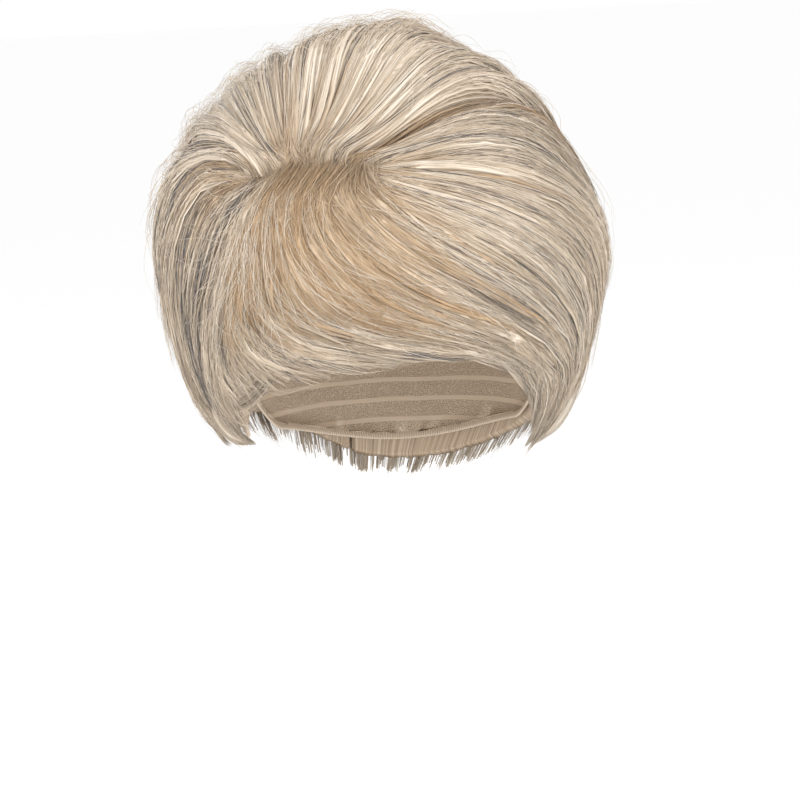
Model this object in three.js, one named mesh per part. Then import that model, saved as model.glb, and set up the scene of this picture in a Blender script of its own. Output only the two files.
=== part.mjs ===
// A short layered wig: a hollow foundation cap, and on it the hair, in sections of locks that fan out from a parting
// near the front, some swept across the forehead and the others up over the crown and down to the hem.
// Millimetres, +Z up, the face opening towards -Y. The origin is where the crown of the head meets the cap.
import * as THREE from "three";

// The head's room inside the cap, from the level where the head is widest
const headWidth = 154;
const headLength = 194;
const crownDepth = 78; // from the crown down to that level
const napeDepth = 112; // from that level down to where the form closes below the ears
const headSquareness = 2.15; // 2 is an ellipsoid, and more is squarer

// The foundation cap
const capWall = 2;
const capRings = 9;
const capColumns = 36;

// The hair as a whole
const sideVolume = 33; // how far the hair's form stands out from the head's room at each side
const endVolume = 23; // the same at the forehead and at the back
const crownLift = 67; // the same above the crown
const hairClearance = 1; // between the cap and the hair
const rootThickness = 3;
const tipThickness = 2.4;
const rootStart = 5; // where a lock begins, measured from the parting
const rootRise = 42; // over this length a lock rises to its full height
const tipTaper = 34; // over this length it comes in to its tip
const tipNotch = 16; // depth of the notch between two tips
const lockValley = 5; // depth of the valley between two locks
const sectionGap = 0.6; // between neighbouring sections

const centre = new THREE.Vector3(0, 0, -crownDepth);
const hairScale = new THREE.Vector3(headWidth / 2 + sideVolume, headLength / 2 + endVolume, crownDepth + crownLift);

// The hair's outer form. Each row is a level, as the elevation seen from the centre of the head, and gives the reach
// of the hair towards -Y, +X, +Y and -X, as shares of hairScale. The levels are equally far apart.
const levels = [
  { elevation: 90, front: 0.92, left: 0.92, back: 0.92, right: 0.92 },
  { elevation: 75, front: 0.78, left: 0.94, back: 1.04, right: 0.95 },
  { elevation: 60, front: 0.73, left: 0.96, back: 1.1, right: 0.98 },
  { elevation: 45, front: 0.77, left: 0.96, back: 1.12, right: 1.03 },
  { elevation: 30, front: 0.86, left: 0.96, back: 1.12, right: 1.06 },
  { elevation: 15, front: 0.91, left: 1.0, back: 1.09, right: 1.03 },
  { elevation: 0, front: 0.92, left: 0.95, back: 1.04, right: 0.96 },
  { elevation: -15, front: 0.88, left: 0.9, back: 0.97, right: 0.91 },
  { elevation: -30, front: 0.83, left: 0.87, back: 0.91, right: 0.88 },
  { elevation: -45, front: 0.8, left: 0.86, back: 0.92, right: 0.86 },
];

// The parting runs between these two directions, in degrees. Azimuth 0 is the front, and it grows towards +X.
const parting = [
  { azimuth: -45, elevation: 37 },
  { azimuth: -8, elevation: 42 },
];

// Guide strands, in order round the head. Each leaves the parting at a share of its length, counted from its first
// end, and passes three directions, as [azimuth, elevation]: a third of the way along, two thirds, and at its tip.
const guides = [
  { root: 0.0, third: [-45, 15], twoThirds: [-54, -5], tip: [-51, -26] }, // right sideburn
  { root: 0.0, third: [-60, 20], twoThirds: [-63, -1], tip: [-56, -26] },
  { root: 0.03, third: [-75, 28], twoThirds: [-88, 2], tip: [-90, -28] }, // over the right ear
  { root: 0.12, third: [-75, 38], twoThirds: [-112, 12], tip: [-118, -30] },
  { root: 0.22, third: [-75, 48], twoThirds: [-135, 25], tip: [-138, -36] }, // right of the crown
  { root: 0.34, third: [-75, 62], twoThirds: [-158, 38], tip: [-158, -42] },
  { root: 0.5, third: [0, 84], twoThirds: [150, 46], tip: [172, -44] }, // over the crown to the nape
  { root: 0.72, third: [25, 70], twoThirds: [118, 40], tip: [145, -40] },
  { root: 0.88, third: [35, 60], twoThirds: [98, 32], tip: [122, -34] }, // left of the crown
  { root: 1.0, third: [45, 48], twoThirds: [88, 22], tip: [104, -28] },
  { root: 1.0, third: [45, 35], twoThirds: [82, 10], tip: [85, -25] }, // over the left ear
  { root: 1.0, third: [32, 26], twoThirds: [64, 4], tip: [64, -28] },
  { root: 0.92, third: [24, 18], twoThirds: [55, -2], tip: [55, -31] }, // left sideburn
  { root: 0.72, third: [0, 15], twoThirds: [30, 0], tip: [52, -20] },
  { root: 0.5, third: [-12, 12], twoThirds: [12, 0], tip: [36, -7] }, // fringe
  { root: 0.32, third: [-24, 13], twoThirds: [-10, 1], tip: [16, -6] },
  { root: 0.18, third: [-31, 14], twoThirds: [-24, 1], tip: [-4, -7] },
  { root: 0.08, third: [-36, 15], twoThirds: [-35, 1], tip: [-26, -11] },
  { root: 0.03, third: [-41, 14], twoThirds: [-46, -1], tip: [-44, -17] }, // right end of the fringe
];

// Sections of hair, each from one guide to another, counted on round the head
const sections = [
  { name: "right_side_hair", from: 0, to: 3, locks: 7, colour: 0xcdb594 },
  { name: "right_crown_hair", from: 3, to: 5, locks: 6, colour: 0xd6c0a0 },
  { name: "nape_hair", from: 5, to: 8, locks: 10, colour: 0xcfb896 },
  { name: "left_crown_hair", from: 8, to: 10, locks: 6, colour: 0xd9c4a4 },
  { name: "left_sweep_hair", from: 10, to: 13, locks: 7, colour: 0xdcc8aa },
  { name: "fringe_sweep_hair", from: 13, to: 16, locks: 5, colour: 0xd3bb94 },
  { name: "fringe_tip_hair", from: 16, to: 19, locks: 6, colour: 0xc9ae84 },
];

// The locks follow this pattern, over and over: how wide one is next to the others, how far its back stands above the
// hair's form, and by how much it is cut shorter, both as shares of lockValley and tipNotch.
const lockPattern = [
  { width: 1.3, lift: 0.4, shorter: 0 },
  { width: 0.75, lift: -0.35, shorter: 0.5 },
  { width: 1.05, lift: 0.1, shorter: 0.1 },
  { width: 1.5, lift: 0.5, shorter: 0 },
  { width: 0.9, lift: -0.2, shorter: 0.35 },
];

// A lock across its width, as the height of its back in equal steps, before its other edge is back at 0
const lockProfile = [0, 0.7, 1, 0.86];

// Stations along a lock, as shares of its length, closer where it rises and where it tapers
const stations = [0, 0.04, 0.1, 0.18, 0.29, 0.42, 0.55, 0.68, 0.79, 0.88, 0.95, 1];
const widestStep = Math.max(...stations.slice(1).map((station, k) => station - stations[k]));

// Where the cap ends: the elevation of its edge, by azimuth to either side of the front
const capEdge = [
  { azimuth: 0, elevation: 17 }, // front hairline
  { azimuth: 45, elevation: -4 }, // temple
  { azimuth: 72, elevation: -34 }, // tab in front of the ear
  { azimuth: 100, elevation: -16 }, // arch over the ear
  { azimuth: 130, elevation: -36 },
  { azimuth: 180, elevation: -40 }, // nape
];

const radians = THREE.MathUtils.degToRad;
const blend = THREE.MathUtils.smoothstep;

function aim([azimuth, elevation]) {
  const level = Math.cos(radians(elevation));
  return new THREE.Vector3(
    Math.sin(radians(azimuth)) * level,
    -Math.cos(radians(azimuth)) * level,
    Math.sin(radians(elevation)),
  );
}

function catmullRom(p0, p1, p2, p3, u) {
  return (
    p1 +
    0.5 * u * (p2 - p0 + u * (2 * p0 - 5 * p1 + 4 * p2 - p3 + u * (3 * p1 - p0 - 3 * p2 + p3)))
  );
}

// Distance from the centre to the head's room, grown outwards by a wall
function headReach(direction, grown) {
  const depth = (direction.z > 0 ? crownDepth : napeDepth) + grown;
  const sum =
    Math.abs(direction.x / (headWidth / 2 + grown)) ** headSquareness +
    Math.abs(direction.y / (headLength / 2 + grown)) ** headSquareness +
    Math.abs(direction.z / depth) ** headSquareness;
  return sum ** (-1 / headSquareness);
}

// Each level as a mean, a forward part, a leftward part and an oval part, so that the form is smooth over the top
const levelStep = levels[0].elevation - levels[1].elevation;
const levelParts = levels.map(({ front, left, back, right }) => [
  (front + left + back + right) / 4,
  (front - back) / 2,
  (left - right) / 2,
  (front - left + back - right) / 4,
]);
const overTheTop = levelParts[1].map((part, k) => (k === 1 || k === 2 ? -part : part));

// Reach of the hair's outer form in a direction of the unscaled form, as a share of hairScale
function hairShare(form) {
  const drop = (90 - THREE.MathUtils.radToDeg(Math.asin(THREE.MathUtils.clamp(form.z, -1, 1)))) / levelStep;
  const level = Math.min(Math.floor(drop), levels.length - 1);
  const at = (k) => (k < 0 ? overTheTop : levelParts[Math.min(k, levels.length - 1)]);
  const azimuth = Math.atan2(form.x, -form.y);
  const parts = levelParts[0].map((_, k) =>
    catmullRom(at(level - 1)[k], at(level)[k], at(level + 1)[k], at(level + 2)[k], drop - level),
  );
  return (
    parts[0] +
    parts[1] * Math.cos(azimuth) +
    parts[2] * Math.sin(azimuth) +
    parts[3] * Math.cos(2 * azimuth)
  );
}

// The four directions that a guide strand passes, its root first
const partingEnds = parting.map(({ azimuth, elevation }) => aim([azimuth, elevation]));
const guideStops = guides.map(({ root, third, twoThirds, tip }) => [
  partingEnds[0].clone().lerp(partingEnds[1], root),
  aim(third),
  aim(twoThirds),
  aim(tip),
]);

// Direction of the unscaled form at a place round the head, counted in guides, and a share of the way to the tip
function strandForm(around, along) {
  const count = guides.length;
  const first = Math.floor(around);
  const stop = (k, which) => guideStops[(((first + k) % count) + count) % count][which];
  const weights = [
    ((1 / 3 - along) * (2 / 3 - along) * (1 - along) * 9) / 2,
    (along * (2 / 3 - along) * (1 - along) * 27) / 2,
    (along * (along - 1 / 3) * (1 - along) * 27) / 2,
    (along * (along - 1 / 3) * (along - 2 / 3) * 9) / 2,
  ];
  const form = new THREE.Vector3();
  for (const axis of ["x", "y", "z"]) {
    weights.forEach((weight, which) => {
      form[axis] +=
        weight *
        catmullRom(stop(-1, which)[axis], stop(0, which)[axis], stop(1, which)[axis], stop(2, which)[axis], around - first);
    });
  }
  return form.normalize();
}

// A point of the hair: fullness 0 is on the head's form, grown by a seat, and fullness 1 on the outer form
function hairPoint(around, along, fullness, seat, thickness) {
  const form = strandForm(around, along);
  const outward = form.clone().multiply(hairScale);
  const outerReach = outward.length() * hairShare(form);
  outward.normalize();
  const innerReach = headReach(outward, seat);
  const reach = innerReach + thickness + Math.max(outerReach - innerReach - thickness, 0) * fullness;
  return outward.multiplyScalar(reach).add(centre);
}

function strandLength(around) {
  const steps = 12;
  let length = 0;
  let last = hairPoint(around, 0, 1, 0, 0);
  for (let k = 1; k <= steps; k++) {
    const next = hairPoint(around, k / steps, 1, 0, 0);
    length += next.distanceTo(last);
    last = next;
  }
  return length;
}

// One closed slab from a grid of outer points over a grid of inner points
function slab(outer, inner) {
  const columns = outer.length;
  const rows = outer[0].length;
  const count = columns * rows;
  const position = [...outer.flat(), ...inner.flat()].flatMap((p) => [p.x, p.y, p.z]);
  const over = (i, j) => i * rows + j;
  const under = (i, j) => count + over(i, j);
  const index = [];
  const quad = (a, b, c, d) => index.push(a, c, b, a, d, c);
  for (let i = 0; i + 1 < columns; i++) {
    for (let j = 0; j + 1 < rows; j++) {
      quad(over(i, j), over(i, j + 1), over(i + 1, j + 1), over(i + 1, j));
      quad(under(i, j), under(i + 1, j), under(i + 1, j + 1), under(i, j + 1));
    }
    quad(over(i, 0), over(i + 1, 0), under(i + 1, 0), under(i, 0));
    quad(over(i, rows - 1), under(i, rows - 1), under(i + 1, rows - 1), over(i + 1, rows - 1));
  }
  for (let j = 0; j + 1 < rows; j++) {
    quad(over(0, j), under(0, j), under(0, j + 1), over(0, j + 1));
    quad(over(columns - 1, j), over(columns - 1, j + 1), under(columns - 1, j + 1), under(columns - 1, j));
  }
  const geometry = new THREE.BufferGeometry();
  geometry.setAttribute("position", new THREE.Float32BufferAttribute(position, 3));
  geometry.setIndex(index);
  return geometry;
}

// The columns of a section: how far round the head each is, and the lift and the cut of the hair there
function columnsOf({ from, to, locks }, firstLock) {
  const rows = Array.from({ length: locks }, (_, k) => lockPattern[(firstLock + k) % lockPattern.length]);
  const whole = rows.reduce((sum, row) => sum + row.width, 0);
  const columns = [];
  let passed = 0;
  for (const { width, lift, shorter } of rows) {
    lockProfile.forEach((back, k) => {
      columns.push({
        place: (passed + (width * k) / lockProfile.length) / whole,
        lift: THREE.MathUtils.lerp(-1, lift, back) * lockValley,
        shorter: THREE.MathUtils.lerp(1, shorter, back) * tipNotch,
      });
    });
    passed += width;
  }
  columns.push({ place: 1, lift: -lockValley, shorter: tipNotch });
  return columns.map((column) => ({ ...column, around: THREE.MathUtils.lerp(from, to, column.place) }));
}

function section(row, firstLock) {
  const outer = [];
  const inner = [];
  for (const { around, place, lift, shorter } of columnsOf(row, firstLock)) {
    const length = strandLength(around);
    const facetDip = (length * widestStep) ** 2 / (4 * headWidth); // how far a flat facet cuts into the round below
    const seat = capWall + hairClearance + facetDip;
    const start = rootStart / length;
    const end = 1 - shorter / length;
    const aside = THREE.MathUtils.lerp(sectionGap, -sectionGap, place) / 2;
    const over = [];
    const under = [];
    for (const station of stations) {
      const along = THREE.MathUtils.lerp(start, end, station);
      const toTip = Math.min(((end - along) * length) / tipTaper, 1);
      const full = blend(along * length, 0, rootRise) * Math.sqrt(1 - (1 - toTip) ** 2);
      const thickness = THREE.MathUtils.lerp(rootThickness, tipThickness, along);
      const below = hairPoint(around, along, 0, seat, 0);
      const above = hairPoint(around, along, full, seat, thickness);
      const outward = above.clone().sub(centre).normalize();
      const sideways = hairPoint(around + 0.01, along, 0, seat, 0).sub(below).setLength(aside);
      over.push(above.addScaledVector(outward, lift * full).add(sideways));
      under.push(below.add(sideways));
    }
    outer.push(over);
    inner.push(under);
  }
  return slab(outer, inner);
}

// Elevation of the cap's edge at an azimuth
function capEdgeElevation(azimuth) {
  const turned = Math.abs(azimuth);
  const next = Math.max(capEdge.findIndex((row) => row.azimuth >= turned), 1);
  const [a, b] = [capEdge[next - 1], capEdge[next]];
  return THREE.MathUtils.lerp(a.elevation, b.elevation, blend(turned, a.azimuth, b.azimuth));
}

function cap() {
  const at = (azimuth, elevation, grown) => {
    const outward = aim([azimuth, elevation]);
    return outward.multiplyScalar(headReach(outward, grown)).add(centre);
  };
  const position = [];
  const index = [];
  const put = (p) => position.push(p.x, p.y, p.z) / 3 - 1;
  const quad = (a, b, c, d) => index.push(a, b, c, a, c, d);
  const shell = (grown) => {
    const pole = put(at(0, 90, grown));
    const rings = [];
    for (let ring = 1; ring <= capRings; ring++) {
      rings.push([]);
      for (let k = 0; k < capColumns; k++) {
        const azimuth = (360 * k) / capColumns - 180;
        const elevation = THREE.MathUtils.lerp(90, capEdgeElevation(azimuth), ring / capRings);
        rings[ring - 1].push(put(at(azimuth, elevation, grown)));
      }
    }
    return { pole, rings };
  };
  const outside = shell(capWall);
  const inside = shell(0);
  for (let k = 0; k < capColumns; k++) {
    const next = (k + 1) % capColumns;
    index.push(outside.pole, outside.rings[0][k], outside.rings[0][next]);
    index.push(inside.pole, inside.rings[0][next], inside.rings[0][k]);
    for (let ring = 0; ring + 1 < capRings; ring++) {
      quad(outside.rings[ring][k], outside.rings[ring + 1][k], outside.rings[ring + 1][next], outside.rings[ring][next]);
      quad(inside.rings[ring][k], inside.rings[ring][next], inside.rings[ring + 1][next], inside.rings[ring + 1][k]);
    }
    const edge = capRings - 1;
    quad(outside.rings[edge][k], inside.rings[edge][k], inside.rings[edge][next], outside.rings[edge][next]);
  }
  const geometry = new THREE.BufferGeometry();
  geometry.setAttribute("position", new THREE.Float32BufferAttribute(position, 3));
  geometry.setIndex(index);
  return geometry;
}

const wig = new THREE.Group();

function add(name, geometry, color, roughness) {
  geometry.computeVertexNormals();
  const mesh = new THREE.Mesh(geometry, new THREE.MeshStandardMaterial({ color, roughness, metalness: 0 }));
  mesh.name = name;
  wig.add(mesh);
}

add("cap", cap(), 0xb89a74, 0.9);
let firstLock = 0;
for (const row of sections) {
  add(row.name, section(row, firstLock), row.colour, 0.5);
  firstLock += row.locks;
}

export default wig;
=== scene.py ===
# %% [markdown]
# # A short layered wig
# A wig is hair sewn in rows to a stretch cap. The solid model already gives the size and the form of both.
# This script dresses that model: every solid block of hair becomes a dense body of fine strands that flow
# from the parting to the hem, and the plain cap becomes a net with sewn rows and a bound edge.
#
# The solid model is loaded first. It is the fixed frame, so everything below is in metres and in its place.

# %% Load the solid model
import math
from types import SimpleNamespace

import bpy
import numpy as np
from mathutils import Matrix, Vector


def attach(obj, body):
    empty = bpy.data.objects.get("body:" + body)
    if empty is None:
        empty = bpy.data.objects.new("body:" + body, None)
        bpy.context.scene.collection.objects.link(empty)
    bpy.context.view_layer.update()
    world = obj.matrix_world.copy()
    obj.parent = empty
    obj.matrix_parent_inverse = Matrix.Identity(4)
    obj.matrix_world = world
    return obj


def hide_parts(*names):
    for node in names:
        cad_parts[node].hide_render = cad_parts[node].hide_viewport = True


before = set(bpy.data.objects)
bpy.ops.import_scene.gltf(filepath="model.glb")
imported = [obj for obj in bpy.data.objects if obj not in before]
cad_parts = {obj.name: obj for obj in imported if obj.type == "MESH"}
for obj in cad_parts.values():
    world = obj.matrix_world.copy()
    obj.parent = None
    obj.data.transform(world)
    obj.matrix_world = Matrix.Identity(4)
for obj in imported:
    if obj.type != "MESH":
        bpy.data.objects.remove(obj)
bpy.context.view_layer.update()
print("solid pieces:", sorted(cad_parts))

# %% [markdown]
# ## The form that the hair follows
# Two closed surfaces bound the hair. The inner one is the room for the head, a squarish egg. The outer one is
# the silhouette of the hair, given by how far it reaches forwards, left, backwards and right at a few levels.
# Both are seen from one centre, so a place in the hair is a direction and a reach. The numbers repeat the
# solid model's.

# %% Sizes of the head's room and of the hair
HEAD_WIDTH, HEAD_LENGTH = 0.154, 0.194
CROWN_DEPTH, NAPE_DEPTH = 0.078, 0.112
HEAD_SQUARENESS = 2.15
CENTRE = np.array([0.0, 0.0, -CROWN_DEPTH])
SIDE_VOLUME, END_VOLUME, CROWN_LIFT = 0.033, 0.023, 0.067
HAIR_SCALE = np.array([HEAD_WIDTH / 2 + SIDE_VOLUME, HEAD_LENGTH / 2 + END_VOLUME, CROWN_DEPTH + CROWN_LIFT])

# elevation, front, left, back, right
LEVELS = np.array([
    (90, 0.92, 0.92, 0.92, 0.92),
    (75, 0.78, 0.94, 1.04, 0.95),
    (60, 0.73, 0.96, 1.10, 0.98),
    (45, 0.77, 0.96, 1.12, 1.03),
    (30, 0.86, 0.96, 1.12, 1.06),
    (15, 0.91, 1.00, 1.09, 1.03),
    (0, 0.92, 0.95, 1.04, 0.96),
    (-15, 0.88, 0.90, 0.97, 0.91),
    (-30, 0.83, 0.87, 0.91, 0.88),
    (-45, 0.80, 0.86, 0.92, 0.86),
])
LEVEL_STEP = LEVELS[0, 0] - LEVELS[1, 0]


def unit(v):
    return v / np.linalg.norm(v, axis=-1, keepdims=True)


def aim(azimuth, elevation):
    azimuth, elevation = np.radians(azimuth), np.radians(elevation)
    level = np.cos(elevation)
    return np.stack([np.sin(azimuth) * level, -np.cos(azimuth) * level, np.sin(elevation)], -1)


def catmull_rom(p0, p1, p2, p3, u):
    return p1 + 0.5 * u * (p2 - p0 + u * (2 * p0 - 5 * p1 + 4 * p2 - p3 + u * (3 * p1 - p0 - 3 * p2 + p3)))


def smooth(x, low=0.0, high=1.0):
    x = np.clip((x - low) / (high - low), 0, 1)
    return x * x * (3 - 2 * x)


def head_reach(direction, grown):
    depth = np.where(direction[..., 2] > 0, CROWN_DEPTH, NAPE_DEPTH) + grown
    total = (
        np.abs(direction[..., 0] / (HEAD_WIDTH / 2 + grown)) ** HEAD_SQUARENESS
        + np.abs(direction[..., 1] / (HEAD_LENGTH / 2 + grown)) ** HEAD_SQUARENESS
        + np.abs(direction[..., 2] / depth) ** HEAD_SQUARENESS
    )
    return total ** (-1 / HEAD_SQUARENESS)


def level_parts():
    front, left, back, right = LEVELS[:, 1:].T
    parts = np.stack([
        (front + left + back + right) / 4,
        (front - back) / 2,
        (left - right) / 2,
        (front - left + back - right) / 4,
    ], 1)
    over_the_top = parts[1] * np.array([1, -1, -1, 1])
    return np.vstack([over_the_top, parts, parts[-1], parts[-1], parts[-1]])


LEVEL_PARTS = level_parts()


def hair_share(form):
    azimuth = np.arctan2(form[..., 0], -form[..., 1])
    drop = (90 - np.degrees(np.arcsin(np.clip(form[..., 2], -1, 1)))) / LEVEL_STEP
    level = np.minimum(drop.astype(int), len(LEVELS) - 1)
    u = (drop - level)[..., None]
    parts = catmull_rom(*(LEVEL_PARTS[level + k] for k in range(4)), u)
    return (
        parts[..., 0]
        + parts[..., 1] * np.cos(azimuth)
        + parts[..., 2] * np.sin(azimuth)
        + parts[..., 3] * np.cos(2 * azimuth)
    )


# %% [markdown]
# ## How the hair flows
# Hair has a grain, and it shows before anything else. A few guide strands fix it: each leaves the parting and
# passes three directions on its way to its tip. A strand anywhere between two guides is a smooth blend of its
# neighbours, so two numbers name a place in the hair: how far round the head, counted in guides, and how far
# along from the parting to the tip.

# %% Guide strands and the parting
PARTING = aim(np.array([-45.0, -8.0]), np.array([37.0, 42.0]))

# share of the parting, then azimuth and elevation at a third of the way, at two thirds and at the tip
GUIDES = np.array([
    (0.00, -45, 15, -54, -5, -51, -26),  # right sideburn
    (0.00, -60, 20, -63, -1, -56, -26),
    (0.03, -75, 28, -88, 2, -90, -28),  # right side
    (0.12, -75, 38, -112, 12, -118, -30),
    (0.22, -75, 48, -135, 25, -138, -36),  # right of the crown
    (0.34, -75, 62, -158, 38, -158, -42),
    (0.50, 0, 84, 150, 46, 172, -44),  # over the crown to the nape
    (0.72, 25, 70, 118, 40, 145, -40),
    (0.88, 35, 60, 98, 32, 122, -34),  # left of the crown
    (1.00, 45, 48, 88, 22, 104, -28),
    (1.00, 45, 35, 82, 10, 85, -25),  # left side
    (1.00, 32, 26, 64, 4, 64, -28),
    (0.92, 24, 18, 55, -2, 55, -31),  # left sideburn
    (0.72, 0, 15, 30, 0, 52, -20),
    (0.50, -12, 12, 12, 0, 36, -7),  # fringe
    (0.32, -24, 13, -10, 1, 16, -6),
    (0.18, -31, 14, -24, 1, -4, -7),
    (0.08, -36, 15, -35, 1, -26, -11),
    (0.03, -41, 14, -46, -1, -44, -17),  # right end of the fringe
])


def guide_stops():
    root = PARTING[0] + (PARTING[1] - PARTING[0]) * GUIDES[:, :1]
    return np.stack([root] + [aim(GUIDES[:, k], GUIDES[:, k + 1]) for k in (1, 3, 5)], 1)


STOPS = guide_stops()


def through_stops(stops, along):
    """The direction at a share of the way along a curve through four stops, spaced in thirds."""
    weights = np.stack([
        (1 / 3 - along) * (2 / 3 - along) * (1 - along) * 9 / 2,
        along * (2 / 3 - along) * (1 - along) * 27 / 2,
        along * (along - 1 / 3) * (1 - along) * 27 / 2,
        along * (along - 1 / 3) * (along - 2 / 3) * 9 / 2,
    ], -1)
    return unit((stops * weights[..., None]).sum(-2))


def strand_form(around, along):
    around, along = np.broadcast_arrays(np.asarray(around, float), np.asarray(along, float))
    first = np.floor(around).astype(int)
    u = (around - first)[..., None, None]
    stops = catmull_rom(*(STOPS[(first + k) % len(GUIDES)] for k in (-1, 0, 1, 2)), u)
    return through_stops(stops, along)


def bounds_of_form(form):
    """Outward direction for one of the form, and the reach of the head and of the hair's outer form."""
    outward = form * HAIR_SCALE
    outer = np.linalg.norm(outward, axis=-1) * hair_share(form)
    outward = unit(outward)
    return outward, head_reach(outward, 0.0), outer


def bounds_of_hair(around, along):
    return bounds_of_form(strand_form(around, along))


def measure_lengths():
    around = np.arange(0, len(GUIDES) + 1 / 16, 1 / 16)
    along = np.linspace(0, 1, 25)
    outward, _, outer = bounds_of_hair(around[:, None], along[None])
    points = outward * outer[..., None]
    steps = np.linalg.norm(np.diff(points, axis=1), axis=-1)
    return around, steps.sum(1)


LENGTH_AROUND, LENGTHS = measure_lengths()


def strand_length(around):
    return np.interp(np.asarray(around) % len(GUIDES), LENGTH_AROUND, LENGTHS)


print("strands run from", round(LENGTHS.min(), 3), "to", round(LENGTHS.max(), 3), "m")

# %% [markdown]
# ## Locks
# The hair falls in locks, each with a raised back, a valley on either side and a pointed tip. The seven
# sections and the rhythm of their locks are the solid model's. The height of a lock is a function here, so
# that the strands and the dense body under them follow the same backs and valleys.

# %% Sections and locks
SEAT = 0.0045
LEAST_COVER = 0.0004
ROOT_THICKNESS, TIP_THICKNESS = 0.003, 0.0024
ROOT_FULL, ROOT_RISE = 0.70, 0.034
TIP_TAPER, TIP_NOTCH, LOCK_VALLEY = 0.034, 0.010, 0.0036
SWATHE_RELIEF = 0.0011

# name, first guide, last guide, locks
SECTIONS = [
    ("right_side_hair", 0, 3, 7),
    ("right_crown_hair", 3, 5, 6),
    ("nape_hair", 5, 8, 10),
    ("left_crown_hair", 8, 10, 6),
    ("left_sweep_hair", 10, 13, 7),
    ("fringe_sweep_hair", 13, 16, 5),
    ("fringe_tip_hair", 16, 19, 6),
]
# width, lift, shorter
LOCK_PATTERN = np.array([
    (1.30, 0.40, 0.00),
    (0.75, -0.35, 0.50),
    (1.05, 0.10, 0.10),
    (1.50, 0.50, 0.00),
    (0.90, -0.20, 0.35),
])


def lay_out_locks():
    """One row per lock: its section, its two edges round the head, its lift and how much shorter it is."""
    rows = []
    count = 0
    for index, (name, first, last, locks) in enumerate(SECTIONS):
        pattern = LOCK_PATTERN[(count + np.arange(locks)) % len(LOCK_PATTERN)]
        edges = np.concatenate([[0], np.cumsum(pattern[:, 0])]) / pattern[:, 0].sum()
        edges = first + (last - first) * edges
        for k in range(locks):
            rows.append((index, edges[k], edges[k + 1], pattern[k, 1], pattern[k, 2]))
        count += locks
    return np.array(rows)


LOCKS = lay_out_locks()


def measure_lock_widths():
    widths = []
    along = np.array([0.35, 0.5, 0.65, 0.8])
    for low, high in LOCKS[:, 1:3]:
        outward, _, outer = bounds_of_hair(np.linspace(low, high, 7)[:, None], along[None])
        points = outward * outer[..., None]
        widths.append(np.linalg.norm(np.diff(points, axis=0), axis=-1).sum(0).mean())
    return np.array(widths)


LOCK_WIDTHS = measure_lock_widths()
VALLEY_SHARE = 0.10  # of a lock's width

# Deeper creases than those between locks: place round the head, where it starts and ends, depth, half its width
CREASES = np.array([
    (8.00, 0.06, 0.60, 0.0095, 0.26),
    (10.05, 0.12, 0.55, 0.0025, 0.14),
    (5.05, 0.20, 0.80, 0.0025, 0.12),
    (2.05, 0.25, 0.85, 0.0025, 0.10),
    (13.0, 0.30, 0.80, 0.0022, 0.14),
    (18.95, 0.25, 0.80, 0.0025, 0.14),
])

SWATHES = 76
SWATHE_HEIGHTS = np.random.default_rng(5).uniform(-1, 1, SWATHES)


def swathe(around, along=0.5):
    """A slow random wave round the head, from -1 in a sunken swathe of hair to 1 on a raised one."""
    x = (np.asarray(around) / len(GUIDES) * SWATHES + 0.5 * np.sin(5 * np.asarray(along) + around)) % SWATHES
    k = np.floor(x).astype(int)
    u = smooth(x - k)
    return SWATHE_HEIGHTS[k % SWATHES] * (1 - u) + SWATHE_HEIGHTS[(k + 1) % SWATHES] * u


# Where the hair stands higher or lower than the plain form: round the head, along, height, half widths of both
SWELLS = np.array([
    (3.60, 0.44, -0.0036, 0.90, 0.13),  # the whole arc over the crown
    (5.20, 0.48, -0.0040, 0.90, 0.14),
    (6.70, 0.56, -0.0042, 0.85, 0.14),
    (6.35, 0.52, -0.0050, 0.42, 0.08),  # top, left of the crown
    (6.72, 0.58, -0.0030, 0.16, 0.10),
    (6.88, 0.60, 0.0022, 0.12, 0.10),
    (7.08, 0.62, -0.0082, 0.13, 0.13),  # valleys between the tiers of the silhouette
    (7.38, 0.65, 0.0032, 0.15, 0.10),
    (7.66, 0.67, -0.0085, 0.14, 0.13),
    (7.95, 0.68, 0.0028, 0.14, 0.10),
    (9.72, 0.84, -0.0058, 0.75, 0.085),  # left side
    (5.28, 0.47, -0.0038, 0.20, 0.06),
    (3.25, 0.46, -0.0050, 0.18, 0.045),  # right of the crown
    (4.20, 0.46, -0.0022, 0.22, 0.05),
    (2.75, 0.40, 0.0025, 0.20, 0.05),
])


def apart(around, place):
    """How far a place round the head is from another, the short way."""
    return (around - place + len(GUIDES) / 2) % len(GUIDES) - len(GUIDES) / 2


def crease_at(around, along):
    """Depth of the creases at a place."""
    depth = 0.0
    for place, start, end, deep, half in CREASES:
        run = smooth(along, start, start + 0.15) * (1 - smooth(along, end - 0.15, end))
        depth = depth + deep * run * np.exp(-((apart(around, place) / half) ** 2))
    return depth


def crease_beside(around):
    """Depth of the creases a third of the way along, where wisps get painted shade and keep to their line."""
    return crease_at(around, 0.35)


def swell_at(around, along):
    height = 0.0
    for place, middle, high, half_around, half_along in SWELLS:
        aside = apart(around, place) / half_around
        height = height + high * np.exp(-(aside ** 2) - ((along - middle) / half_along) ** 2)
    return height


def lock_back(across):
    return np.sin(math.pi * np.clip(across, 0, 1)) ** 0.6 * (0.88 + 0.24 * across)


def lock_at(around):
    """The lock at a place round the head, and how far across it the place is."""
    around = np.asarray(around) % len(GUIDES)
    lock = np.clip(np.searchsorted(LOCKS[:, 2], around), 0, len(LOCKS) - 1)
    low, high = LOCKS[lock, 1], LOCKS[lock, 2]
    return lock, np.clip((around - low) / (high - low), 0, 1)


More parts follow.
